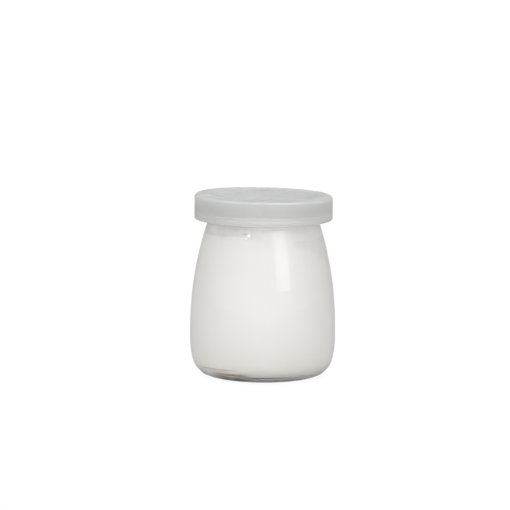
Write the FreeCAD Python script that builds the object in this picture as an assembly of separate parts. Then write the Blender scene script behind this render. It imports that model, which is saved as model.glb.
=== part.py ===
"""A capped glass yogurt jar, in millimetres, +Z up.

The jar is a small pressed-glass dessert jar: a thick clear base with a shallow
punt and a flat bearing ring, a rounded heel, a body that is widest low down and
tapers in one long curve to a short neck, and a wide rounded flange at the mouth.
It is filled with set yogurt to just under the neck and closed with a soft
translucent snap cap, whose skirt goes over the flange and hooks below it. Its top
is a raised ring with a shallow dish inside it, and the dish rests on the glass.

Origin: centre of the bearing ring, on the surface the jar stands on. The jar's
own axis is Z, and every piece is turned about it.
"""

import FreeCAD, Part
import math
import os

V = FreeCAD.Vector

# ---------------------------------------------------------------- glass, outside
BODY_R = 30.74          # widest radius of the body
BODY_LOW_Z = 16.0       # the widest part is a short straight band from here ...
BODY_HIGH_Z = 20.0      # ... to here
SHOULDER_ARC_R = 145.0  # one long curve from the widest band up to the neck
HEEL_ARC_R = 40.0       # gentle curve from the widest band down to the heel
HEEL_TURN_DEG = 13.0    # how far that curve turns before the tight heel begins
                        # the tight heel then runs down to meet the ground level
BEARING_IN_R = 18.6     # inside of the flat ring that the jar stands on
PUNT_H = 1.6            # depth of the hollow under the base, inside that ring
NECK_FILLET_R = 2.6     # hollow curve between the body and the flange
NECK_START_Z = 65.6     # where the long curve ends
FLANGE_R = 27.6         # outside of the mouth's flange
FLANGE_LOW_FILLET = 1.1
FLANGE_TOP_FILLET = 1.3
JAR_H = 74.1            # top of the glass

# ----------------------------------------------------------------- glass, inside
WALL = 2.3              # wall at the widest band
CAVITY_R = BODY_R - WALL
MOUTH_R = 21.0          # straight throat of the mouth
MOUTH_FILLET = 1.9      # rounding at the inside of the rim
THROAT_FILLET = 12.0    # soft turn between throat and shoulder
THROAT_CORNER_Z = 65.2  # where the throat and the inner shoulder curve would meet
INNER_HEEL_ARC_R = 38.0
INNER_HEEL_TURN_DEG = 15.0
INNER_HEEL_R = 8.7
FLOOR_RISE = 0.6        # the inside floor is pushed up this much in the middle

# ----------------------------------------------------------------------- yogurt
FILL_Z = 59.3           # level of the yogurt away from the glass
MENISCUS_H = 0.7        # how far it climbs the glass
MENISCUS_W = 1.9        # over this width

# -------------------------------------------------------------------------- cap
CAP_R = 29.15           # outside of the skirt
CAP_TOP_Z = 76.9        # raised rim of the cap's top
CAP_BOTTOM_Z = 66.15    # lower edge of the skirt
CAP_TOP_FILLET = 2.05
CAP_LOW_FILLET = 0.95
SKIRT_IN_R = 27.85      # inside of the skirt, just clear of the flange
RING_UNDER_Z = 75.5     # underside of the raised ring round the top
CORNER_R = 1.0          # rounding inside, between skirt and ring
RIM_IN_R = 24.2         # the raised ring ends here and the dish begins
DISH_R = 17.8           # flat middle of the dish
DISH_DEPTH = 0.95
DISH_UNDER_Z = 74.2     # underside of the dish, just over the glass
DISH_UNDER_R = 23.7     # it steps up from here to the underside of the ring ...
RING_UNDER_R = 25.3     # ... which starts here
SNAP_IN_R = 26.9        # inside of the snap bead below the flange
SNAP_TOP_Z = 69.6
SNAP_LAND_TOP = 68.85
SNAP_LAND_LOW = 68.2
SNAP_LOW_Z = 67.1
SKIRT_LIP_R = 27.85     # inside of the skirt at its very edge


def pt(r, z):
    return V(r, 0, z)


def line(a, b):
    return Part.LineSegment(pt(*a), pt(*b)).toShape()


def on_circle(c, radius, deg):
    t = math.radians(deg)
    return (c[0] + radius * math.cos(t), c[1] + radius * math.sin(t))


def arc(c, radius, deg_a, deg_b):
    """Arc about c in the profile's plane, from one angle to the other."""
    pts = [on_circle(c, radius, d) for d in (deg_a, (deg_a + deg_b) / 2.0, deg_b)]
    return Part.Arc(*[pt(*p) for p in pts]).toShape()


def s_curve(a, b):
    """Two equal tangent arcs from a to b, level at both ends."""
    dx, dz = b[0] - a[0], b[1] - a[1]
    half = math.hypot(dx, dz) / 2.0
    tilt = math.atan2(abs(dz), abs(dx))
    radius = half / 2.0 / math.sin(tilt)
    mid = ((a[0] + b[0]) / 2.0, (a[1] + b[1]) / 2.0)
    up = 1.0 if dz > 0 else -1.0
    ca = (a[0], a[1] + up * radius)
    cb = (b[0], b[1] - up * radius)

    def through(c, p, q):
        ang_p = math.atan2(p[1] - c[1], p[0] - c[0])
        ang_q = math.atan2(q[1] - c[1], q[0] - c[0])
        d = (ang_q - ang_p + math.pi) % (2 * math.pi) - math.pi
        m = on_circle(c, radius, math.degrees(ang_p + d / 2.0))
        return Part.Arc(pt(*p), pt(*m), pt(*q)).toShape()

    return [through(ca, a, mid), through(cb, mid, b)]


def turned(edges):
    """Solid of revolution of a closed profile about Z."""
    wire = Part.Wire(Part.__sortEdges__(edges))
    solid = Part.Face(wire).revolve(V(0, 0, 0), V(0, 0, 1), 360)
    if solid.ShapeType != "Solid":
        solid = Part.Solid(solid.Shells[0]) if solid.Shells else Part.makeSolid(solid)
    if solid.Volume < 0:
        solid.reverse()
    return solid


# ------------------------------------------------------------- the glass outside
def glass_outside():
    edges = []
    # hollow under the base: a shallow spherical punt
    punt_arc_r = (BEARING_IN_R ** 2 + PUNT_H ** 2) / (2.0 * PUNT_H)
    c = (0.0, PUNT_H - punt_arc_r)
    end = math.degrees(math.acos(BEARING_IN_R / punt_arc_r))
    edges.append(arc(c, punt_arc_r, 90.0, end))
    # the gentle curve below the widest band, then the tight heel: tangent to it
    # above and to the ground below
    ca = (BODY_R - HEEL_ARC_R, BODY_LOW_Z)
    join = on_circle(ca, HEEL_ARC_R, -HEEL_TURN_DEG)
    t = math.radians(HEEL_TURN_DEG)
    heel_r = join[1] / (1.0 - math.sin(t))
    cb = (join[0] - heel_r * math.cos(t), heel_r)
    edges.append(line((BEARING_IN_R, 0.0), (cb[0], 0.0)))
    edges.append(arc(cb, heel_r, -90.0, -HEEL_TURN_DEG))
    edges.append(arc(ca, HEEL_ARC_R, -HEEL_TURN_DEG, 0.0))
    edges.append(line((BODY_R, BODY_LOW_Z), (BODY_R, BODY_HIGH_Z)))
    # long shoulder curve
    cs = (BODY_R - SHOULDER_ARC_R, BODY_HIGH_Z)
    top_deg = math.degrees(math.asin((NECK_START_Z - BODY_HIGH_Z) / SHOULDER_ARC_R))
    edges.append(arc(cs, SHOULDER_ARC_R, 0.0, top_deg))
    p = on_circle(cs, SHOULDER_ARC_R, top_deg)
    # hollow of the neck, from the shoulder's slope to the level underside of the flange
    t = math.radians(top_deg)
    cn = (p[0] + NECK_FILLET_R * math.cos(t), p[1] + NECK_FILLET_R * math.sin(t))
    edges.append(arc(cn, NECK_FILLET_R, 180.0 + top_deg, 90.0))
    under = (cn[0], cn[1] + NECK_FILLET_R)
    cf = (FLANGE_R - FLANGE_LOW_FILLET, under[1] + FLANGE_LOW_FILLET)
    edges.append(line(under, (cf[0], under[1])))
    edges.append(arc(cf, FLANGE_LOW_FILLET, -90.0, 0.0))
    ct = (FLANGE_R - FLANGE_TOP_FILLET, JAR_H - FLANGE_TOP_FILLET)
    edges.append(line((FLANGE_R, cf[1]), (FLANGE_R, ct[1])))
    edges.append(arc(ct, FLANGE_TOP_FILLET, 0.0, 90.0))
    return edges, (ct[0], JAR_H)


# -------------------------------------------------------------- the glass inside
def cavity_curves():
    """Edges of the cavity from the middle of its floor up to the throat, and the
    points between them."""
    edges = []
    ca = (CAVITY_R - INNER_HEEL_ARC_R, BODY_HIGH_Z)
    join = on_circle(ca, INNER_HEEL_ARC_R, -INNER_HEEL_TURN_DEG)
    t = math.radians(-INNER_HEEL_TURN_DEG)
    cb = (join[0] - INNER_HEEL_R * math.cos(t), join[1] - INNER_HEEL_R * math.sin(t))
    floor_r, floor_z = cb[0], cb[1] - INNER_HEEL_R
    dome_r = (floor_r ** 2 + FLOOR_RISE ** 2) / (2.0 * FLOOR_RISE)
    cd = (0.0, floor_z + FLOOR_RISE - dome_r)
    edges.append(arc(cd, dome_r, 90.0, math.degrees(math.acos(floor_r / dome_r))))
    edges.append(arc(cb, INNER_HEEL_R, -90.0, -INNER_HEEL_TURN_DEG))
    edges.append(arc(ca, INNER_HEEL_ARC_R, -INNER_HEEL_TURN_DEG, 0.0))
    return edges, (0.0, floor_z + FLOOR_RISE)


def shoulder_inside():
    """Radius and centre of the inner shoulder curve: level with the widest band at
    its foot, and through the throat's corner at its top."""
    drop = CAVITY_R - MOUTH_R
    run = THROAT_CORNER_Z - BODY_HIGH_Z
    radius = (run ** 2 + drop ** 2) / (2.0 * drop)
    return (CAVITY_R - radius, BODY_HIGH_Z), radius


def throat():
    """The soft turn from shoulder to throat: its centre, and where it starts and
    ends."""
    c, radius = shoulder_inside()
    # a circle of THROAT_FILLET outside the shoulder circle and left of the throat line
    cr = MOUTH_R + THROAT_FILLET
    dr = cr - c[0]
    dist = radius + THROAT_FILLET
    cz = c[1] + math.sqrt(dist ** 2 - dr ** 2)
    deg = math.degrees(math.atan2(cz - c[1], dr))
    return (cr, cz), on_circle(c, radius, deg), deg


def glass_jar():
    outer, top_out = glass_outside()
    inner, floor = cavity_curves()
    cs, rs = shoulder_inside()
    ct, start, deg = throat()
    inner.append(arc(cs, rs, 0.0, deg))
    inner.append(arc(ct, THROAT_FILLET, 180.0 + deg, 180.0))
    cm = (MOUTH_R + MOUTH_FILLET, JAR_H - MOUTH_FILLET)
    inner.append(line((MOUTH_R, ct[1]), (MOUTH_R, cm[1])))
    inner.append(arc(cm, MOUTH_FILLET, 180.0, 90.0))
    rim = line((cm[0], JAR_H), top_out)
    axis = line((0.0, PUNT_H), floor)
    return turned(outer + inner + [rim, axis])


# -------------------------------------------------------------------- the yogurt
def yogurt():
    """Fills the cavity to the level, with a small meniscus at the glass."""
    edges, floor = cavity_curves()
    cs, rs = shoulder_inside()
    climb_z = FILL_Z + MENISCUS_H
    deg = math.degrees(math.asin((climb_z - BODY_HIGH_Z) / rs))
    wall_top = on_circle(cs, rs, deg)
    edges.append(arc(cs, rs, 0.0, deg))
    # meniscus: a hollow arc, level where it leaves the flat top
    a = (wall_top[0] - MENISCUS_W, FILL_Z)
    radius = (MENISCUS_W ** 2 + MENISCUS_H ** 2) / (2.0 * MENISCUS_H)
    c = (a[0], FILL_Z + radius)
    end = math.degrees(math.atan2(climb_z - c[1], wall_top[0] - c[0]))
    edges.append(arc(c, radius, -90.0, end))
    edges.append(line((0.0, FILL_Z), a))
    edges.append(line((0.0, FILL_Z), floor))
    return turned(edges)


# ----------------------------------------------------------------------- the cap
def snap_cap():
    edges = []
    # outside, from the skirt's edge to the middle of the top
    cl = (CAP_R - CAP_LOW_FILLET, CAP_BOTTOM_Z + CAP_LOW_FILLET)
    ct = (CAP_R - CAP_TOP_FILLET, CAP_TOP_Z - CAP_TOP_FILLET)
    edges.append(arc(cl, CAP_LOW_FILLET, -90.0, 0.0))
    edges.append(line((CAP_R, cl[1]), (CAP_R, ct[1])))
    edges.append(arc(ct, CAP_TOP_FILLET, 0.0, 90.0))
    edges.append(line((ct[0], CAP_TOP_Z), (RIM_IN_R, CAP_TOP_Z)))
    dish = CAP_TOP_Z - DISH_DEPTH
    edges += s_curve((RIM_IN_R, CAP_TOP_Z), (DISH_R, dish))
    edges.append(line((DISH_R, dish), (0.0, dish)))
    # inside, from the middle of the underside to the skirt's edge
    edges.append(line((0.0, dish), (0.0, DISH_UNDER_Z)))
    edges.append(line((0.0, DISH_UNDER_Z), (DISH_UNDER_R, DISH_UNDER_Z)))
    edges += s_curve((DISH_UNDER_R, DISH_UNDER_Z), (RING_UNDER_R, RING_UNDER_Z))
    cc = (SKIRT_IN_R - CORNER_R, RING_UNDER_Z - CORNER_R)
    edges.append(line((RING_UNDER_R, RING_UNDER_Z), (cc[0], RING_UNDER_Z)))
    edges.append(arc(cc, CORNER_R, 90.0, 0.0))
    edges.append(line((SKIRT_IN_R, cc[1]), (SKIRT_IN_R, SNAP_TOP_Z)))
    edges.append(line((SKIRT_IN_R, SNAP_TOP_Z), (SNAP_IN_R, SNAP_LAND_TOP)))
    edges.append(line((SNAP_IN_R, SNAP_LAND_TOP), (SNAP_IN_R, SNAP_LAND_LOW)))
    edges.append(line((SNAP_IN_R, SNAP_LAND_LOW), (SKIRT_LIP_R, SNAP_LOW_Z)))
    edges.append(line((SKIRT_LIP_R, SNAP_LOW_Z), (SKIRT_LIP_R, CAP_BOTTOM_Z)))
    edges.append(line((SKIRT_LIP_R, CAP_BOTTOM_Z), (cl[0], CAP_BOTTOM_Z)))
    return turned(edges)


def main():
    os.makedirs("parts", exist_ok=True)
    pieces = {
        "glass_jar": glass_jar(),
        "yogurt": yogurt(),
        "snap_cap": snap_cap(),
    }
    for name, shape in pieces.items():
        assert shape.isValid(), name
        shape.exportStep(os.path.join("parts", name + ".step"))
        b = shape.BoundBox
        print("%-10s %s volume %.2f cm3  x %.2f..%.2f  z %.2f..%.2f" % (
            name, shape.ShapeType, shape.Volume / 1000.0, b.XMin, b.XMax, b.ZMin, b.ZMax))
    names = list(pieces)
    for i, a in enumerate(names):
        for b in names[i + 1:]:
            common = pieces[a].common(pieces[b])
            print("overlap %s %s %.4f mm3" % (a, b, common.Volume))


main()
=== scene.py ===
import math

import bmesh
import bpy
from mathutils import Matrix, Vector, noise

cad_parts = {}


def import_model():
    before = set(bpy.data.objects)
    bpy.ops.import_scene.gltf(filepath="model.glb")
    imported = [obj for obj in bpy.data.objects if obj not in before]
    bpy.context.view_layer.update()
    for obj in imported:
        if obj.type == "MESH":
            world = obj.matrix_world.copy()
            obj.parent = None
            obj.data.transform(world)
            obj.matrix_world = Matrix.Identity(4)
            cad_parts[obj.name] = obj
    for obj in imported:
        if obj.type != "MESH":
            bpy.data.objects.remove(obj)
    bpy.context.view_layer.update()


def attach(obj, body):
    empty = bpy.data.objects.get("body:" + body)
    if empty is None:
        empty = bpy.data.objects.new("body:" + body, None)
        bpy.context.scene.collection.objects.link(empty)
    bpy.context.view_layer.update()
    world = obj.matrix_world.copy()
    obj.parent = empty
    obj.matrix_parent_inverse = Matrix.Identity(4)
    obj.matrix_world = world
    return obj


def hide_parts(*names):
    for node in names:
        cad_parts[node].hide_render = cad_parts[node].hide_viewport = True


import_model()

MM = 0.001

# ------------------------------------------------------------------- sizes, in mm
BODY_R = 30.74
BODY_LOW_Z = 16.0
BODY_HIGH_Z = 20.0
SHOULDER_ARC_R = 145.0
HEEL_ARC_R = 40.0
HEEL_TURN_DEG = 13.0
BEARING_IN_R = 18.6
PUNT_H = 1.6
NECK_FILLET_R = 2.6
NECK_START_Z = 65.6
FLANGE_R = 27.6
FLANGE_LOW_FILLET = 1.1
FLANGE_TOP_FILLET = 1.3
JAR_H = 74.1
WALL = 2.3
CAVITY_R = BODY_R - WALL
MOUTH_R = 21.0
MOUTH_FILLET = 1.9
THROAT_FILLET = 12.0
THROAT_CORNER_Z = 65.2
INNER_HEEL_ARC_R = 38.0
INNER_HEEL_TURN_DEG = 15.0
INNER_HEEL_R = 8.7
FLOOR_RISE = 0.6
FILL_Z = 58.6

CAP_R = 29.15
CAP_TOP_Z = 76.9
CAP_BOTTOM_Z = 66.15
CAP_TOP_FILLET = 2.05
CAP_LOW_FILLET = 0.95
SKIRT_IN_R = 27.85
RING_UNDER_Z = 75.5
CORNER_R = 1.0
RIM_IN_R = 24.2
DISH_R = 17.8
DISH_DEPTH = 0.95
DISH_UNDER_Z = 74.2
DISH_UNDER_R = 23.7
RING_UNDER_R = 25.3
SNAP_IN_R = 26.9
SNAP_TOP_Z = 69.6
SNAP_LAND_TOP = 68.85
SNAP_LAND_LOW = 68.2
SNAP_LOW_Z = 67.1

# studio, in units of white
LOBE_AZ = -12.0
LOBE_LIGHT = 2.90
LOBE_UP = 2.0
AMBIENT = 0.30
ZENITH_LIGHT = 2.1
SEEN_LEVEL = 1.22
SEEN_UPPER = 0.24
HAZE = 0.5
FILM_COVER = 0.80
FILM_RIGHT = 0.20
FILM_LEVEL_LIFT = 0.2
GREY_RIGHT = 0.5
# painted light: how far the top of the fill is whitened against the cap's shade
CAP_SHADE_LIFT = 1.0
FLOOR_LIGHT = 1.28
FLOOR_SEEN = 0.52
FLOOR_LIGHT_BY_R = [(0.0, 0.08), (0.20, 0.10), (0.25, 0.5), (0.32, 0.85), (0.5, 1.0)]
FLOOR_SEEN_BY_R = [(0.0, 0.15), (0.20, 0.18), (0.30, 0.6), (0.45, 1.0)]

KNURL_H = 0.26          # height of the marks on the bearing ring
KNURL_N = 76
SEAM_DEG = -42.8        # where the bottom plate's seam runs round the heel
SEAM_HALF_DEG = 3.2
SEAM_DEPTH = 0.38
DASH_DEG = -58.0
DASH_H = 0.16


# ------------------------------------------------------------------ small helpers
def on_circle(c, radius, deg):
    t = math.radians(deg)
    return (c[0] + radius * math.cos(t), c[1] + radius * math.sin(t))


def arc(path, c, radius, a, b, n):
    for i in range(n + 1):
        add(path, on_circle(c, radius, a + (b - a) * i / n))


def add(path, p):
    if not path or math.hypot(path[-1][0] - p[0], path[-1][1] - p[1]) > 0.004:
        path.append(p)


def straight(path, a, b, n):
    for i in range(n + 1):
        t = i / n
        add(path, (a[0] + (b[0] - a[0]) * t, a[1] + (b[1] - a[1]) * t))


def s_curve(path, a, b, n):
    for i in range(n + 1):
        t = i / n
        k = t * t * (3 - 2 * t)
        add(path, (a[0] + (b[0] - a[0]) * t, a[1] + (b[1] - a[1]) * k))


def step(x, lo, hi):
    if lo == hi:
        return 1.0 if x >= hi else 0.0
    t = min(1.0, max(0.0, (x - lo) / (hi - lo)))
    return t * t * (3 - 2 * t)


def bump(x, mid, half):
    """A smooth hill, 1 at mid and 0 beyond half."""
    t = abs(x - mid) / half
    return 0.0 if t >= 1 else (1 - t * t) ** 2


def turn_diff(a, b):
    """Smallest signed difference of two angles, in degrees."""
    return (a - b + 180.0) % 360.0 - 180.0


def ripple(x, y, z, size, seed):
    return noise.noise(Vector((x / size + seed * 17.3, y / size - seed * 5.1, z / size + seed * 9.7)))


def lathe(name, path, seg, shape=None, smooth=True):
    """A closed turned solid. path runs from the axis to the axis, or round a ring.
    shape(theta_deg, r, z, i) gives the moved (r, z) of a point."""
    verts, faces, rows = [], [], []
    for i, (r, z) in enumerate(path):
        if r < 1e-6:
            rr, zz = (r, z) if shape is None else shape(0.0, r, z, i)
            rows.append([len(verts)])
            verts.append((0.0, 0.0, zz * MM))
            continue
        row = []
        for j in range(seg):
            th = 360.0 * j / seg
            rr, zz = (r, z) if shape is None else shape(th, r, z, i)
            t = math.radians(th)
            row.append(len(verts))
            verts.append((rr * MM * math.cos(t), rr * MM * math.sin(t), zz * MM))
        rows.append(row)
    for a, b in zip(rows[:-1], rows[1:]):
        if len(a) == 1 and len(b) == 1:
            continue
        if len(a) == 1:
            for j in range(seg):
                faces.append((a[0], b[(j + 1) % seg], b[j]))
        elif len(b) == 1:
            for j in range(seg):
                faces.append((a[j], a[(j + 1) % seg], b[0]))
        else:
            for j in range(seg):
                k = (j + 1) % seg
                faces.append((a[j], a[k], b[k], b[j]))
    me = bpy.data.meshes.new(name)
    me.from_pydata(verts, [], faces)
    me.update()
    ob = bpy.data.objects.new(name, me)
    bpy.context.scene.collection.objects.link(ob)
    # outward normals, whichever way the path runs
    vol = 0.0
    for p in me.polygons:
        vs = [me.vertices[v].co for v in p.vertices]
        for n in range(1, len(vs) - 1):
            vol += vs[0].dot(vs[n].cross(vs[n + 1]))
    if vol < 0:
        me.flip_normals()
    if smooth:
        for p in me.polygons:
            p.use_smooth = True
    return ob


# ------------------------------------------------------------------------ profiles
def cavity_path(grow=0.0):
    """From the middle of the floor up to the top of the inner shoulder, moved
    outwards into the glass by grow."""
    p = []
    ca = (CAVITY_R - INNER_HEEL_ARC_R, BODY_HIGH_Z)
    join = on_circle(ca, INNER_HEEL_ARC_R, -INNER_HEEL_TURN_DEG)
    t = math.radians(-INNER_HEEL_TURN_DEG)
    cb = (join[0] - INNER_HEEL_R * math.cos(t), join[1] - INNER_HEEL_R * math.sin(t))
    floor_r, floor_z = cb[0], cb[1] - INNER_HEEL_R
    dome_r = (floor_r ** 2 + FLOOR_RISE ** 2) / (2.0 * FLOOR_RISE)
    cd = (0.0, floor_z + FLOOR_RISE - dome_r)
    arc(p, cd, dome_r - grow, 90.0, math.degrees(math.acos(floor_r / dome_r)), 10)
    arc(p, cb, INNER_HEEL_R + grow, -90.0, -INNER_HEEL_TURN_DEG, 16)
    arc(p, ca, INNER_HEEL_ARC_R + grow, -INNER_HEEL_TURN_DEG, 0.0, 6)
    return p


def shoulder_inside():
    drop = CAVITY_R - MOUTH_R
    run = THROAT_CORNER_Z - BODY_HIGH_Z
    radius = (run ** 2 + drop ** 2) / (2.0 * drop)
    return (CAVITY_R - radius, BODY_HIGH_Z), radius


def throat():
    c, radius = shoulder_inside()
    cr = MOUTH_R + THROAT_FILLET
    dr = cr - c[0]
    cz = c[1] + math.sqrt((radius + THROAT_FILLET) ** 2 - dr ** 2)
    return (cr, cz), math.degrees(math.atan2(cz - c[1], dr))


def glass_path():
    p = []
    punt_arc_r = (BEARING_IN_R ** 2 + PUNT_H ** 2) / (2.0 * PUNT_H)
    c = (0.0, PUNT_H - punt_arc_r)
    arc(p, c, punt_arc_r, 90.0, math.degrees(math.acos(BEARING_IN_R / punt_arc_r)), 10)
    ca = (BODY_R - HEEL_ARC_R, BODY_LOW_Z)
    join = on_circle(ca, HEEL_ARC_R, -HEEL_TURN_DEG)
    t = math.radians(HEEL_TURN_DEG)
    heel_r = join[1] / (1.0 - math.sin(t))
    cb = (join[0] - heel_r * math.cos(t), heel_r)
    straight(p, (BEARING_IN_R, 0.0), (cb[0], 0.0), 7)
    arc(p, cb, heel_r, -90.0, -66.0, 8)
    arc(p, cb, heel_r, -66.0, -34.0, 46)      # fine enough for the seam and the marks
    arc(p, cb, heel_r, -34.0, -HEEL_TURN_DEG, 6)
    arc(p, ca, HEEL_ARC_R, -HEEL_TURN_DEG, 0.0, 6)
    straight(p, (BODY_R, BODY_LOW_Z), (BODY_R, BODY_HIGH_Z), 2)
    cs = (BODY_R - SHOULDER_ARC_R, BODY_HIGH_Z)
    top_deg = math.degrees(math.asin((NECK_START_Z - BODY_HIGH_Z) / SHOULDER_ARC_R))
    arc(p, cs, SHOULDER_ARC_R, 0.0, top_deg, 20)
    q = on_circle(cs, SHOULDER_ARC_R, top_deg)
    t = math.radians(top_deg)
    cn = (q[0] + NECK_FILLET_R * math.cos(t), q[1] + NECK_FILLET_R * math.sin(t))
    arc(p, cn, NECK_FILLET_R, 180.0 + top_deg, 90.0, 8)
    under = (cn[0], cn[1] + NECK_FILLET_R)
    cf = (FLANGE_R - FLANGE_LOW_FILLET, under[1] + FLANGE_LOW_FILLET)
    add(p, (cf[0], under[1]))
    arc(p, cf, FLANGE_LOW_FILLET, -90.0, 0.0, 5)
    ct = (FLANGE_R - FLANGE_TOP_FILLET, JAR_H - FLANGE_TOP_FILLET)
    straight(p, (FLANGE_R, cf[1]), (FLANGE_R, ct[1]), 2)
    arc(p, ct, FLANGE_TOP_FILLET, 0.0, 90.0, 6)
    cm = (MOUTH_R + MOUTH_FILLET, JAR_H - MOUTH_FILLET)
    straight(p, (ct[0], JAR_H), (cm[0], JAR_H), 3)
    arc(p, cm, MOUTH_FILLET, 90.0, 180.0, 6)
    ctr, deg = throat()
    straight(p, (MOUTH_R, cm[1]), (MOUTH_R, ctr[1]), 2)
    arc(p, ctr, THROAT_FILLET, 180.0, 180.0 + deg, 5)
    sc, sr = shoulder_inside()
    arc(p, sc, sr, deg, 0.0, 18)
    for q in reversed(cavity_path()):
        add(p, q)
    return p


def heel_circle():
    t = math.radians(HEEL_TURN_DEG)
    join = on_circle((BODY_R - HEEL_ARC_R, BODY_LOW_Z), HEEL_ARC_R, -HEEL_TURN_DEG)
    heel_r = join[1] / (1.0 - math.sin(t))
    return (join[0] - heel_r * math.cos(t), heel_r)


HEEL_C = heel_circle()


def heel_marks(th, deg):
    """Outward move on the heel: the seam of the bottom plate, and short marks under it."""
    seam = -SEAM_DEPTH * bump(deg, SEAM_DEG, SEAM_HALF_DEG)
    seam *= 0.15 + 0.85 * bump(turn_diff(th, -86.0), 0.0, 62.0)
    wave = 0.5 + 0.5 * math.cos(math.radians(KNURL_N * th))
    mark = DASH_H * step(wave, 0.25, 0.7) * bump(deg, DASH_DEG, 6.0)
    mark *= 0.6 + 0.4 * math.cos(math.radians(th * 7.0 + 40.0))
    return seam + mark


def wall_wave(x, y, z):
    """How far the inner wall stands out of true, from pressing."""
    return 0.10 * ripple(x, y, z, 17.0, 1) + 0.05 * ripple(x, y, z, 8.0, 2)


def glass_shape(th, r, z, i):
    """Marks on the bearing ring, and the small unevenness of pressed glass."""
    if i <= SPLIT and r > HEEL_C[0] and z < 6.0:
        deg = math.degrees(math.atan2(z - HEEL_C[1], r - HEEL_C[0]))
        move = heel_marks(th, deg)
        r += move * math.cos(math.radians(deg))
        z += move * math.sin(math.radians(deg))
    t = math.radians(th)
    x, y = r * math.cos(t), r * math.sin(t)
    if z < 3.0 and 16.0 < r < 24.6:
        # the ring is lifted, and its marks reach down to the ground
        ring = step(r, 17.9, 18.6) * (1.0 - step(r, 22.4, 24.0))
        z += KNURL_H * ring
        uneven = 0.25 * ripple(x, y, 0.0, 6.0, 3)
        wave = 0.5 + 0.5 * math.cos(math.radians(KNURL_N * th) + uneven * 6.0)
        mark = step(wave, 0.3, 0.72)
        span = step(r, 18.6, 19.2) * (1.0 - step(r, 21.8, 23.0))
        tall = 0.86 + 0.14 * math.cos(math.radians(th * 9.0 + 20.0))
        z -= KNURL_H * mark * span * min(1.0, tall + 0.05)
    inside = i > SPLIT
    if inside and z < 66.0:
        k = step(z, 7.0, 16.0)
        r += k * wall_wave(x, y, z)
    elif not inside and 4.0 < z < 67.0:
        r -= 0.012 * (1.0 + ripple(x, y, z, 11.0, 4))
    return r, max(z, 0.0)


# ---------------------------------------------------------------- the glass itself
gpath = glass_path()
top_z = max(q[1] for q in gpath)
SPLIT = max(i for i, q in enumerate(gpath) if abs(q[1] - top_z) < 1e-6)
glass = lathe("jar_glass", gpath, 456, glass_shape)


# ---------------------------------------------------------------------- the yogurt
def inner_r(z):
    """Radius of the cavity at a height above the widest band."""
    (cx, cz), radius = shoulder_inside()
    (tx, tz), deg = throat()
    if z <= cz:
        return CAVITY_R
    if z < cz + radius * math.sin(math.radians(deg)):
        return cx + math.sqrt(radius ** 2 - (z - cz) ** 2)
    if z < tz:
        return tx - math.sqrt(THROAT_FILLET ** 2 - (z - tz) ** 2)
    return MOUTH_R


GROW = 0.16             # the yogurt reaches this far into the wall


CLIMB = 0.10
CLIMBS = [(0.85, -128.0, 42.0), (0.50, -114.0, 22.0), (0.35, -55.0, 30.0), (0.45, 40.0, 60.0), (0.35, 130.0, 45.0)]


def climb(th):
    """How far the yogurt stands above its level at the glass, by direction.
    -90 degrees faces the viewer of the jar's front."""
    h = CLIMB
    for height, mid, half in CLIMBS:
        h += height * step(half - abs(turn_diff(th, mid)), 0.0, half)
    return h


def yogurt_piece():
    wall = cavity_path(GROW)
    (cx, cz), radius = shoulder_inside()
    n_low = len(wall)
    # rows close up under the edge, so that its turn stays crisp
    ups = [k / 19.0 * 0.975 for k in range(1, 20)] + [0.985, 0.992, 0.996, 0.9985, 1.0]
    rows_up = len(ups)
    rim_rows = 9
    flat_rows = 22
    path = list(wall)
    for i in range(1, rows_up + 1):
        path.append((25.0, 40.0 + i))        # placed by shape()
    for i in range(rim_rows):
        path.append((22.0, 70.0 + i))
    for i in range(flat_rows):
        path.append((20.0 - 0.8 * i, 90.0))
    path.append((0.0, 90.0))
    total = len(path)

    def surface(th, r):
        t = math.radians(th)
        x, y = r * math.cos(t), r * math.sin(t)
        z = FILL_Z
        z += 0.16 * ripple(x, y, 0.0, 15.0, 6) + 0.07 * ripple(x, y, 0.0, 6.0, 7)
        z -= 0.35 * math.exp(-((x + 4.0) ** 2 + (y - 3.0) ** 2) / 90.0)
        return z

    def shape(th, r, z, i):
        t = math.radians(th)
        if i < n_low:
            x, y = r * math.cos(t), r * math.sin(t)
            k = step(z, 7.0, 16.0)
            return r + k * 0.05 * ripple(x, y, z, 17.0, 1), z
        h = climb(th)
        top = FILL_Z + h
        if i < n_low + rows_up:
            k = ups[i - n_low]
            zz = BODY_HIGH_Z + (top - BODY_HIGH_Z) * k
            rr = cx + math.sqrt((radius + GROW) ** 2 - (zz - cz) ** 2)
            return rr, zz
        w = 1.5 + 0.9 * h
        edge = inner_r(top)
        if i < n_low + rows_up + rim_rows:
            # the meniscus, a hollow curve down to the level
            k = (i - n_low - rows_up + 1) / rim_rows
            rr = edge - w * k ** 1.3
            lift = h * (1.0 - k) ** 2.2
            return rr, surface(th, rr) + lift
        k = (i - n_low - rows_up - rim_rows + 1) / (flat_rows + 1)
        rr = (edge - w) * (1.0 - k)
        if i == total - 1:
            return 0.0, surface(th, 0.0)
        return rr, surface(th, rr)

    return lathe("yogurt_fill", path, 320, shape)


yogurt = yogurt_piece()


FILM_LOW_Z = 57.0
FILM_HIGH_Z = 66.2


def film_piece():
    """The thin film of yogurt left on the inside of the glass, above the fill."""
    rows = 18
    levels = [FILM_LOW_Z + (FILM_HIGH_Z - FILM_LOW_Z) * k / rows for k in range(rows + 1)]
    path = [(inner_r(z) + 0.10, z) for z in levels] + [(inner_r(z) + 0.03, z) for z in reversed(levels)]
    path.append(path[0])

    def shape(th, r, z, i):
        t = math.radians(th)
        return r + min(1.0, (66.0 - z) / 0.5 if z > 65.5 else 1.0) * wall_wave(r * math.cos(t), r * math.sin(t), z), z

    return lathe("yogurt_film", path, 256, shape)


film = film_piece()


def outer_r(z):
    return BODY_R - SHOULDER_ARC_R + math.sqrt(SHOULDER_ARC_R ** 2 - (z - BODY_HIGH_Z) ** 2)


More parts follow.
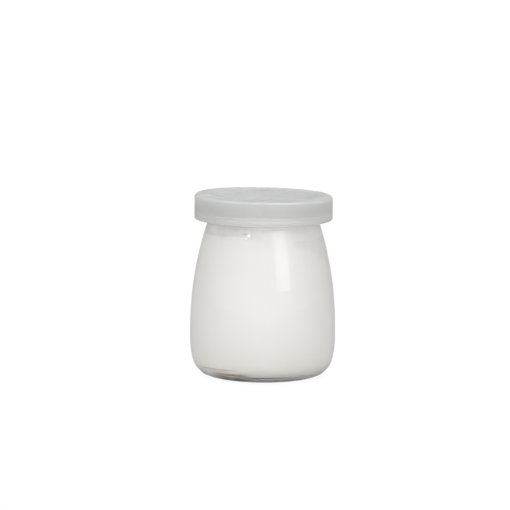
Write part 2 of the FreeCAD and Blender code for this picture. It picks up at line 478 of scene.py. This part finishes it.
def drops():
    """Two small splashes of yogurt on the glass, one piece."""
    verts, faces = [], []
    for th, z, size, tall in ((-104.3, 61.86, 0.66, 0.62), (-106.8, 60.80, 0.40, 0.42)):
        t = math.radians(th)
        mid = Vector((math.cos(t), math.sin(t), 0.0)) * (outer_r(z) - 0.02) + Vector((0, 0, z))
        out = Vector((math.cos(t), math.sin(t), 0.0))
        side = Vector((-math.sin(t), math.cos(t), 0.0))
        first = len(verts)
        n_lat, n_lon = 12, 20
        for a in range(n_lat + 1):
            lat = math.pi * a / n_lat
            for b in range(n_lon):
                lon = 2 * math.pi * b / n_lon
                p = mid + out * (0.24 * size * math.cos(lat)) + side * (size * math.sin(lat) * math.cos(lon))
                p += Vector((0, 0, 1)) * (tall * math.sin(lat) * math.sin(lon))
                verts.append(tuple(p * MM))
        for a in range(n_lat):
            for b in range(n_lon):
                c = (b + 1) % n_lon
                q = [first + a * n_lon + b, first + (a + 1) * n_lon + b, first + (a + 1) * n_lon + c, first + a * n_lon + c]
                if a == 0:
                    q = [first, q[1], q[2]]
                elif a == n_lat - 1:
                    q = [q[0], first + n_lat * n_lon, q[3]]
                faces.append(q)
    me = bpy.data.meshes.new("yogurt_drops")
    me.from_pydata(verts, [], faces)
    me.update()
    used = bpy.data.objects.new("yogurt_drops", me)
    bpy.context.scene.collection.objects.link(used)
    tidy = bmesh.new()
    tidy.from_mesh(me)
    bmesh.ops.delete(tidy, geom=[v for v in tidy.verts if not v.link_faces], context="VERTS")
    bmesh.ops.recalc_face_normals(tidy, faces=tidy.faces)
    tidy.to_mesh(me)
    tidy.free()
    for p in me.polygons:
        p.use_smooth = True
    return used


splash = drops()


# ------------------------------------------------------------------------- the cap
def cap_path():
    p = []
    dish = CAP_TOP_Z - DISH_DEPTH
    # outside: middle of the dish to the skirt's edge
    straight(p, (0.0, dish), (DISH_R, dish), 16)
    s_curve(p, (DISH_R, dish), (RIM_IN_R, CAP_TOP_Z), 12)
    ct = (CAP_R - CAP_TOP_FILLET, CAP_TOP_Z - CAP_TOP_FILLET)
    straight(p, (RIM_IN_R, CAP_TOP_Z), (ct[0], CAP_TOP_Z), 4)
    arc(p, ct, CAP_TOP_FILLET, 90.0, 0.0, 12)
    cl = (CAP_R - CAP_LOW_FILLET, CAP_BOTTOM_Z + CAP_LOW_FILLET)
    straight(p, (CAP_R, ct[1]), (CAP_R, cl[1]), 40)
    arc(p, cl, CAP_LOW_FILLET, 0.0, -90.0, 8)
    # inside: from the edge up and back to the middle
    straight(p, (cl[0], CAP_BOTTOM_Z), (SKIRT_IN_R, CAP_BOTTOM_Z), 1)
    straight(p, (SKIRT_IN_R, CAP_BOTTOM_Z), (SKIRT_IN_R, SNAP_LOW_Z), 2)
    straight(p, (SKIRT_IN_R, SNAP_LOW_Z), (SNAP_IN_R, SNAP_LAND_LOW), 3)
    straight(p, (SNAP_IN_R, SNAP_LAND_LOW), (SNAP_IN_R, SNAP_LAND_TOP), 2)
    straight(p, (SNAP_IN_R, SNAP_LAND_TOP), (SKIRT_IN_R, SNAP_TOP_Z), 3)
    cc = (SKIRT_IN_R - CORNER_R, RING_UNDER_Z - CORNER_R)
    straight(p, (SKIRT_IN_R, SNAP_TOP_Z), (SKIRT_IN_R, cc[1]), 3)
    arc(p, cc, CORNER_R, 0.0, 90.0, 6)
    straight(p, (cc[0], RING_UNDER_Z), (RING_UNDER_R, RING_UNDER_Z), 2)
    s_curve(p, (RING_UNDER_R, RING_UNDER_Z), (DISH_UNDER_R, DISH_UNDER_Z), 6)
    straight(p, (DISH_UNDER_R, DISH_UNDER_Z), (0.0, DISH_UNDER_Z), 10)
    return p


LID_UP = 0.07
LID_LEFT = 0.0140       # slope of the lid's top, up to the left
LID_LEFT_LOW = 0.0040   # and of its lower edge
LID_FRONT = 0.0130      # slope up to the front


def cap_shape(th, r, z, i):
    t = math.radians(th)
    x, y = r * math.cos(t), r * math.sin(t)
    if z > CAP_BOTTOM_Z + 0.5 and abs(r - CAP_R) < 0.02:
        # two fine witness lines round the skirt, where the bead is inside
        r -= 0.05 * bump(z, 69.55, 0.30) + 0.05 * bump(z, 68.45, 0.30)
        r -= 0.015 * (1 + ripple(x, y, z, 14.0, 8))
    # the soft lid sits a little askew: higher at its left and front, most at the top
    up = min(1.0, max(0.0, (z - CAP_BOTTOM_Z) / (CAP_TOP_Z - CAP_BOTTOM_Z)))
    z += LID_UP * up - x * (LID_LEFT_LOW + (LID_LEFT - LID_LEFT_LOW) * up) - y * LID_FRONT * up
    return r, z


cap = lathe("cap_shell", cap_path(), 384, cap_shape)


# ----------------------------------------------------------------------- materials
class Nodes:
    def __init__(self, name):
        self.mat = bpy.data.materials.new(name)
        self.mat.use_nodes = True
        self.t = self.mat.node_tree
        self.t.nodes.clear()
        self.out = self.t.nodes.new("ShaderNodeOutputMaterial")

    def new(self, kind, **values):
        n = self.t.nodes.new(kind)
        for k, v in values.items():
            setattr(n, k, v)
        return n

    def link(self, a, b):
        self.t.links.new(a, b)

    def coords(self):
        return self.new("ShaderNodeTexCoord").outputs["Object"]

    def noise(self, scale, detail=2.0, rough=0.5, vector=None, distortion=0.0):
        n = self.new("ShaderNodeTexNoise")
        n.inputs["Scale"].default_value = scale
        n.inputs["Detail"].default_value = detail
        n.inputs["Roughness"].default_value = rough
        n.inputs["Distortion"].default_value = distortion
        if vector is not None:
            self.link(vector, n.inputs["Vector"])
        return n.outputs["Fac"]

    def ramp(self, fac, stops, interp="LINEAR"):
        n = self.new("ShaderNodeValToRGB")
        r = n.color_ramp
        r.interpolation = interp
        while len(r.elements) < len(stops):
            r.elements.new(0.5)
        for e, (pos, col) in zip(r.elements, stops):
            e.position = pos
            e.color = (col, col, col, 1) if not isinstance(col, tuple) else (*col, 1)
        self.link(fac, n.inputs["Fac"])
        return n.outputs["Color"]

    def math(self, op, a, b=None, c=None, clamp=False):
        n = self.new("ShaderNodeMath", operation=op)
        n.use_clamp = clamp
        for k, v in enumerate((a, b, c)):
            if v is None:
                continue
            if isinstance(v, (int, float)):
                n.inputs[k].default_value = v
            else:
                self.link(v, n.inputs[k])
        return n.outputs[0]

    def mix(self, fac, a, b, mode="MIX"):
        n = self.new("ShaderNodeMix", data_type="RGBA", blend_type=mode)
        for key, v in (("Factor", fac), ("A", a), ("B", b)):
            s = [q for q in n.inputs if q.name == key and q.enabled][0]
            if isinstance(v, (int, float)):
                s.default_value = v
            elif isinstance(v, tuple):
                s.default_value = (*v, 1)
            else:
                self.link(v, s)
        return [q for q in n.outputs if q.enabled][0]

    def around(self, vector):
        """Height in m and direction in degrees, from object coordinates."""
        n = self.new("ShaderNodeSeparateXYZ")
        self.link(vector, n.inputs[0])
        turn = self.math("MULTIPLY", self.math("ARCTAN2", n.outputs["Y"], n.outputs["X"]), 180.0 / math.pi)
        return n.outputs["Z"], turn

    def window(self, value, mid, half, soft=1.0):
        """1 near mid, 0 beyond half, with an eased edge over the outer part soft."""
        away = self.math("ABSOLUTE", self.math("SUBTRACT", value, mid))
        n = self.new("ShaderNodeMapRange", interpolation_type="SMOOTHSTEP")
        n.inputs["From Min"].default_value = half
        n.inputs["From Max"].default_value = half * (1.0 - soft)
        self.link(away, n.inputs["Value"])
        return n.outputs["Result"]

    def bump(self, height, strength, distance):
        n = self.new("ShaderNodeBump")
        n.inputs["Strength"].default_value = strength
        n.inputs["Distance"].default_value = distance
        self.link(height, n.inputs["Height"])
        return n.outputs["Normal"]


def glass_material():
    m = Nodes("clear_glass")
    b = m.new("ShaderNodeBsdfPrincipled")
    b.inputs["Base Color"].default_value = (0.995, 0.998, 0.993, 1)
    b.inputs["Transmission Weight"].default_value = 1.0
    b.inputs["IOR"].default_value = 1.52
    m.link(b.outputs[0], m.out.inputs["Surface"])
    co = m.coords()
    r = m.ramp(m.noise(120.0, 3.0, 0.6, co), [(0.35, 0.0), (0.75, 0.03)])
    # breath and yogurt film on the inside, above the fill
    flat = m.new("ShaderNodeVectorMath", operation="MULTIPLY")
    m.link(co, flat.inputs[0])
    flat.inputs[1].default_value = (1.0, 1.0, 0.0)
    off = m.new("ShaderNodeVectorMath", operation="LENGTH")
    m.link(flat.outputs[0], off.inputs[0])
    z, turn = m.around(co)
    hazy = m.math("MULTIPLY", m.math("LESS_THAN", off.outputs["Value"], 0.0233), m.window(z, 0.0655, 0.0075, 0.15))
    mist = m.ramp(m.noise(400.0, 3.0, 0.6, co), [(0.3, 0.8), (0.7, 1.0)])
    r = m.math("ADD", r, m.math("MULTIPLY", m.math("MULTIPLY", hazy, mist), HAZE), clamp=True)
    m.link(r, b.inputs["Roughness"])
    h = m.noise(70.0, 1.0, 0.5, co)
    m.link(m.bump(h, 0.10, 0.0008), b.inputs["Normal"])
    v = m.new("ShaderNodeVolumeAbsorption")
    v.inputs["Color"].default_value = (0.953, 0.956, 0.950, 1)
    v.inputs["Density"].default_value = 18.0
    m.link(v.outputs[0], m.out.inputs["Volume"])
    return m.mat


def yogurt_material():
    m = Nodes("set_yogurt")
    b = m.new("ShaderNodeBsdfPrincipled")
    m.link(b.outputs[0], m.out.inputs["Surface"])
    co = m.coords()
    soft = m.noise(60.0, 3.0, 0.55, co)
    fine = m.noise(900.0, 4.0, 0.6, co)
    base = m.mix(m.ramp(soft, [(0.3, 0.0), (0.7, 1.0)]), (0.960, 0.950, 0.940), (0.972, 0.963, 0.954))
    base = m.mix(m.ramp(fine, [(0.35, 0.0), (0.75, 0.16)]), base, (0.975, 0.970, 0.960))
    # a little lighter and more neutral from 20 to 50 mm up
    z, turn = m.around(co)
    rise = m.new("ShaderNodeMapRange", interpolation_type="SMOOTHSTEP")
    rise.inputs["From Min"].default_value = 0.020
    rise.inputs["From Max"].default_value = 0.050
    m.link(z, rise.inputs["Value"])
    base = m.mix(m.math("MULTIPLY", rise.outputs["Result"], 0.5), base, (0.965, 0.962, 0.961))
    # painted light: much whiter above 46 mm, lifting the shade that the cap casts on the top of the fill
    cap_shade_lift = m.new("ShaderNodeMapRange", interpolation_type="SMOOTHSTEP")
    cap_shade_lift.inputs["From Min"].default_value = 0.046
    cap_shade_lift.inputs["From Max"].default_value = 0.060
    m.link(z, cap_shade_lift.inputs["Value"])
    base = m.mix(m.math("MULTIPLY", cap_shade_lift.outputs["Result"], CAP_SHADE_LIFT), base, (0.997, 0.996, 0.992))
    # the brownish streaks low on the left
    stretch = m.new("ShaderNodeMapping")
    stretch.inputs["Scale"].default_value = (1.0, 1.0, 7.0)
    m.link(co, stretch.inputs["Vector"])
    grain = m.noise(260.0, 3.0, 0.6, stretch.outputs[0])
    line = m.math("MULTIPLY", m.window(z, 0.00590, 0.00032), m.window(turn, -137.0, 27.0, 0.5))
    line2 = m.math("MULTIPLY", m.window(z, 0.00535, 0.00028), m.window(turn, -136.0, 17.0, 0.6))
    patch = m.math("MULTIPLY", m.window(z, 0.0040, 0.0012, 0.5), m.window(turn, -124.0, 27.0, 0.65))
    streak = m.math("ADD", m.math("MULTIPLY", line, 0.62), m.math("MULTIPLY", line2, 0.4))
    streak = m.math("ADD", streak, m.math("MULTIPLY", patch, 0.88))
    streak = m.math("MULTIPLY", streak, m.ramp(grain, [(0.25, 0.35), (0.65, 1.0)]), clamp=True)
    base = m.mix(streak, base, (0.33, 0.25, 0.17))
    # greyer on the upper right, from a line that drops to the right up to the level
    slope = m.math("ADD", m.math("MULTIPLY", m.math("ADD", turn, 62.0), -0.000165), 0.0578)
    over = m.new("ShaderNodeMapRange", interpolation_type="SMOOTHSTEP")
    over.inputs["From Min"].default_value = -0.0022
    over.inputs["From Max"].default_value = 0.0022
    m.link(m.math("SUBTRACT", z, slope), over.inputs["Value"])
    grey = m.math("MULTIPLY", over.outputs["Result"], m.window(turn, -33.0, 31.0, 0.35))
    base = m.mix(m.math("MULTIPLY", grey, GREY_RIGHT), base, (0.86, 0.86, 0.855))
    m.link(base, b.inputs["Base Color"])
    m.link(m.ramp(m.noise(150.0, 3.0, 0.6, co), [(0.3, 0.32), (0.7, 0.5)]), b.inputs["Roughness"])
    m.link(m.bump(m.math("ADD", m.math("MULTIPLY", fine, 0.4), soft), 0.25, 0.0006), b.inputs["Normal"])
    return m.mat


def drop_material():
    m = Nodes("yogurt_splash")
    b = m.new("ShaderNodeBsdfPrincipled")
    m.link(b.outputs[0], m.out.inputs["Surface"])
    co = m.coords()
    cloud = m.noise(900.0, 2.0, 0.5, co)
    m.link(m.mix(m.ramp(cloud, [(0.3, 0.0), (0.7, 1.0)]), (0.97, 0.965, 0.95), (0.985, 0.98, 0.965)), b.inputs["Base Color"])
    m.link(m.ramp(cloud, [(0.3, 0.08), (0.7, 0.16)]), b.inputs["Roughness"])
    return m.mat


def film_material():
    m = Nodes("yogurt_film")
    b = m.new("ShaderNodeBsdfPrincipled")
    m.link(b.outputs[0], m.out.inputs["Surface"])
    co = m.coords()
    z, turn = m.around(co)
    cloud = m.noise(180.0, 3.0, 0.6, co)
    base = m.mix(m.ramp(cloud, [(0.3, 0.0), (0.7, 1.0)]), (0.982, 0.984, 0.966), (0.990, 0.992, 0.976))
    m.link(base, b.inputs["Base Color"])
    m.link(m.ramp(cloud, [(0.3, 0.4), (0.7, 0.55)]), b.inputs["Roughness"])
    b.inputs["Specular IOR Level"].default_value = 0.2
    thick = m.ramp(cloud, [(0.25, FILM_COVER - 0.05), (0.75, FILM_COVER + 0.05)])
    right = m.math("MULTIPLY", m.window(turn, -25.0, 100.0, 0.4), FILM_RIGHT)
    level = (FILL_Z + CLIMB) * MM
    for height, mid, half in CLIMBS:
        level = m.math("ADD", m.math("MULTIPLY", m.window(turn, mid, half), height * MM), level)
    # painted light: the film is denser just above the level, lifting the dark edge of shade along the fill line
    low = m.math("MULTIPLY", m.window(m.math("SUBTRACT", z, level), 0.0001, 0.0013, 0.8), FILM_LEVEL_LIFT)
    cover = m.math("ADD", m.math("ADD", thick, right), low, clamp=True)
    # painted shadow: the film thins in a small spot left of the splashes, so it shows darker there like their shadow
    splash_shadow_spot = m.math("MULTIPLY", m.window(turn, -110.0, 5.0), m.window(z, 0.0620, 0.0008))
    cover = m.math("SUBTRACT", cover, m.math("MULTIPLY", splash_shadow_spot, 0.2), clamp=True)
    cover = m.math("MULTIPLY", cover, m.window(z, 0.0616, 0.0046, 0.35), clamp=True)
    m.link(cover, b.inputs["Alpha"])
    return m.mat


def cap_material():
    m = Nodes("cap_plastic")
    b = m.new("ShaderNodeBsdfPrincipled")
    m.link(b.outputs[0], m.out.inputs["Surface"])
    co = m.coords()
    cloud = m.noise(45.0, 3.0, 0.55, co)
    base = m.mix(m.ramp(cloud, [(0.3, 0.0), (0.7, 1.0)]), (0.915, 0.92, 0.925), (0.935, 0.94, 0.945))
    m.link(base, b.inputs["Base Color"])
    b.inputs["Transmission Weight"].default_value = 0.81
    b.inputs["IOR"].default_value = 1.51
    m.link(m.ramp(m.noise(220.0, 3.0, 0.6, co), [(0.3, 0.30), (0.7, 0.34)]), b.inputs["Roughness"])
    m.link(m.bump(m.noise(700.0, 3.0, 0.6, co), 0.12, 0.0002), b.inputs["Normal"])
    return m.mat


def dress(ob, mat):
    ob.data.materials.clear()
    ob.data.materials.append(mat)


dress(glass, glass_material())
dress(yogurt, yogurt_material())
dress(cap, cap_material())
dress(film, film_material())
dress(splash, drop_material())

for piece, node, slot in ((glass, "glass_jar", "clear_glass"), (yogurt, "yogurt", "yogurt"), (cap, "snap_cap", "cap_plastic")):
    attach(piece, "root")
    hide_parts(node)
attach(film, "root")
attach(splash, "root")


# ------------------------------------------------------------------- floor and world
def floor():
    me = bpy.data.meshes.new("floor")
    s, rings = 96, [0.0, 0.05, 0.2, 0.8, 3.0, 12.0]
    verts, faces = [(0, 0, 0)], []
    for r in rings[1:]:
        for j in range(s):
            t = 2 * math.pi * j / s
            verts.append((r * math.cos(t), r * math.sin(t), 0))
    for j in range(s):
        faces.append((0, 1 + j, 1 + (j + 1) % s))
    for k in range(len(rings) - 2):
        a, b = 1 + k * s, 1 + (k + 1) * s
        for j in range(s):
            q = (j + 1) % s
            faces.append((a + j, b + j, b + q, a + q))
    me.from_pydata(verts, [], faces)
    ob = bpy.data.objects.new("floor", me)
    ob.location.z = -0.00002
    bpy.context.scene.collection.objects.link(ob)
    m = Nodes("floor_white")
    co = m.coords()
    d = m.new("ShaderNodeVectorMath", operation="LENGTH")
    m.link(co, d.inputs[0])
    # painted contact shadow: the floor as the camera sees it darkens towards the jar
    shadow_fall = m.math("DIVIDE", d.outputs["Value"], 0.09, clamp=True)
    col = m.ramp(shadow_fall, [(0.0, 0.80), (0.25, 0.93), (0.34, 0.985), (0.5, 1.0)], "EASE")
    speck = m.noise(300.0, 2.0, 0.5, co)
    col = m.mix(m.ramp(speck, [(0.3, 0.0), (0.8, 0.01)]), col, (0.98, 0.98, 0.98))
    lit = m.new("ShaderNodeEmission")
    m.link(col, lit.inputs["Color"])
    lit.inputs["Strength"].default_value = 1.02
    # what glass and gloss show of it, and what it gives as light: dim under the jar
    near = m.math("DIVIDE", d.outputs["Value"], 0.1, clamp=True)
    seen = m.new("ShaderNodeEmission")
    seen.inputs["Color"].default_value = (1.0, 1.0, 0.99, 1)
    # towards the front it brightens into the studio's wall
    split = m.new("ShaderNodeSeparateXYZ")
    m.link(co, split.inputs[0])
    front = m.new("ShaderNodeMapRange", interpolation_type="SMOOTHSTEP")
    front.inputs["From Min"].default_value = -0.10
    front.inputs["From Max"].default_value = -1.2
    m.link(split.outputs["Y"], front.inputs["Value"])
    wall = m.math("MULTIPLY", front.outputs["Result"], 0.62)
    m.link(m.math("ADD", m.math("MULTIPLY", m.ramp(near, FLOOR_SEEN_BY_R), FLOOR_SEEN), wall), seen.inputs["Strength"])
    dif = m.new("ShaderNodeEmission")
    dif.inputs["Color"].default_value = (1.0, 0.965, 0.91, 1)
    m.link(m.math("MULTIPLY", m.ramp(near, FLOOR_LIGHT_BY_R), FLOOR_LIGHT), dif.inputs["Strength"])
    path = m.new("ShaderNodeLightPath")
    lighting = m.math("GREATER_THAN", path.outputs["Diffuse Depth"], 0.5)
    both = m.new("ShaderNodeMixShader")
    m.link(lighting, both.inputs[0])
    m.link(seen.outputs[0], both.inputs[1])
    m.link(dif.outputs[0], both.inputs[2])
    mix = m.new("ShaderNodeMixShader")
    m.link(path.outputs["Is Camera Ray"], mix.inputs[0])
    m.link(both.outputs[0], mix.inputs[1])
    m.link(lit.outputs[0], mix.inputs[2])
    m.link(mix.outputs[0], m.out.inputs["Surface"])
    dress(ob, m.mat)
    return ob


floor()


def world():
    w = bpy.data.worlds.new("studio")
    bpy.context.scene.world = w
    w.use_nodes = True
    t = w.node_tree
    t.nodes.clear()
    out = t.nodes.new("ShaderNodeOutputWorld")
    co = t.nodes.new("ShaderNodeTexCoord")
    sep = t.nodes.new("ShaderNodeSeparateXYZ")
    t.links.new(co.outputs["Generated"], sep.inputs[0])

    def ramp(src, lo, hi, stops):
        mr = t.nodes.new("ShaderNodeMapRange")
        mr.inputs["From Min"].default_value = lo
        mr.inputs["From Max"].default_value = hi
        t.links.new(src, mr.inputs["Value"])
        n = t.nodes.new("ShaderNodeValToRGB")
        n.color_ramp.interpolation = "EASE"
        while len(n.color_ramp.elements) < len(stops):
            n.color_ramp.elements.new(0.5)
        for e, (p, v) in zip(n.color_ramp.elements, stops):
            e.position = p
            e.color = (v, v, v, 1)
        t.links.new(mr.outputs[0], n.inputs["Fac"])
        return n.outputs["Color"]

    path = t.nodes.new("ShaderNodeLightPath")

    def background(color, strength):
        n = t.nodes.new("ShaderNodeBackground")
        if isinstance(color, tuple):
            n.inputs["Color"].default_value = (*color, 1)
        else:
            t.links.new(color, n.inputs["Color"])
        n.inputs["Strength"].default_value = strength
        return n.outputs[0]

    def choose(fac, a, b):
        n = t.nodes.new("ShaderNodeMixShader")
        t.links.new(fac, n.inputs[0])
        t.links.new(a, n.inputs[1])
        t.links.new(b, n.inputs[2])
        return n.outputs[0]

    def op(kind, a, b):
        n = t.nodes.new("ShaderNodeMath")
        n.operation = kind
        for k, v in enumerate((a, b)):
            if isinstance(v, (int, float)):
                n.inputs[k].default_value = v
            else:
                t.links.new(v, n.inputs[k])
        return n.outputs[0]

    # what gives light: an even studio, a wide, low lobe from the front, left of middle,
    # and one from overhead
    az = math.radians(LOBE_AZ)
    level = op("ADD", op("MULTIPLY", sep.outputs["X"], math.sin(az)), op("MULTIPLY", sep.outputs["Y"], -math.cos(az)))
    up = math.radians(LOBE_UP)
    facing = op("ADD", op("MULTIPLY", level, math.cos(up)), op("MULTIPLY", sep.outputs["Z"], math.sin(up)))
    low = op("SUBTRACT", 1.0, op("MULTIPLY", sep.outputs["Z"], sep.outputs["Z"]))
    lobe = op("MULTIPLY", op("POWER", op("MAXIMUM", facing, 0.0), 1.2), op("POWER", low, 3.0))
    lighting = op("ADD", op("MULTIPLY", lobe, LOBE_LIGHT), AMBIENT)
    above = op("POWER", op("MAXIMUM", sep.outputs["Z"], 0.0), 8.0)
    lighting = op("ADD", lighting, op("MULTIPLY", above, ZENITH_LIGHT))
    # what glass and gloss show of the studio
    seen = ramp(sep.outputs["Y"], 1.0, -1.0, [(0.0, 0.50), (0.4, 0.46), (0.7, 0.85), (1.0, 0.95)])
    upper = ramp(sep.outputs["Z"], 0.02, 0.22, [(0.0, 0.0), (1.0, SEEN_UPPER)])
    seen = op("ADD", seen, op("MULTIPLY", upper, op("GREATER_THAN", sep.outputs["Y"], 0.0)))
    is_light = t.nodes.new("ShaderNodeMath")
    is_light.operation = "GREATER_THAN"
    is_light.inputs[1].default_value = 0.5
    t.links.new(path.outputs["Diffuse Depth"], is_light.inputs[0])
    lit = choose(is_light.outputs[0], background(seen, SEEN_LEVEL), background(lighting, 1.0))
    t.links.new(choose(path.outputs["Is Camera Ray"], lit, background((1.0, 1.0, 1.0), 1.02)), out.inputs["Surface"])


world()


def softbox(name, azimuth, elevation, distance, width, height, radiance, aim=(0, 0, 0.04)):
    """A rectangular light. Azimuth 0 is in front of the jar, turning to its right."""
    li = bpy.data.lights.new(name, "AREA")
    li.shape = "RECTANGLE"
    li.size = width
    li.size_y = height
    li.energy = radiance * math.pi * width * height
    ob = bpy.data.objects.new(name, li)
    a, e = math.radians(azimuth), math.radians(elevation)
    aim = Vector(aim)
    ob.location = aim + Vector((math.sin(a) * math.cos(e), -math.cos(a) * math.cos(e), math.sin(e))) * distance
    ob.rotation_euler = (aim - ob.location).to_track_quat("-Z", "Y").to_euler()
    ob.visible_camera = False
    bpy.context.scene.collection.objects.link(ob)
    return ob


softbox("key_right", 33.5, 23.0, 0.9, 0.36, 0.54, 2.05)
softbox("top_right", 158.0, 60.0, 0.9, 0.30, 0.35, 1.2)
softbox("top_left", 205.0, 50.0, 0.9, 0.30, 0.35, 1.2)

# --------------------------------------------------------------------------- camera
cam_data = bpy.data.cameras.new("camera")
cam_data.sensor_width = 36.0
cam_data.lens = 2628.0 / 510.0 * 36.0
cam_data.clip_start = 0.05
cam_data.clip_end = 50.0
cam = bpy.data.objects.new("camera", cam_data)
cam.location = (-0.00345, -1.1, 0.1999)
cam.rotation_mode = "XYZ"
pitch, roll = math.radians(90.0 - 7.72), math.radians(0.45)
cam.rotation_euler = (pitch, 0.0, 0.0)
bpy.context.scene.collection.objects.link(cam)
bpy.context.view_layer.update()
cam.rotation_euler.rotate_axis("Z", roll)
bpy.context.scene.camera = cam
bpy.context.scene.view_settings.view_transform = "Standard"
bpy.context.scene.view_settings.look = "None"
bpy.context.scene.cycles.max_bounces = 24
bpy.context.scene.cycles.diffuse_bounces = 12
bpy.context.scene.cycles.glossy_bounces = 8
bpy.context.scene.cycles.transmission_bounces = 20
bpy.context.scene.cycles.transparent_max_bounces = 24
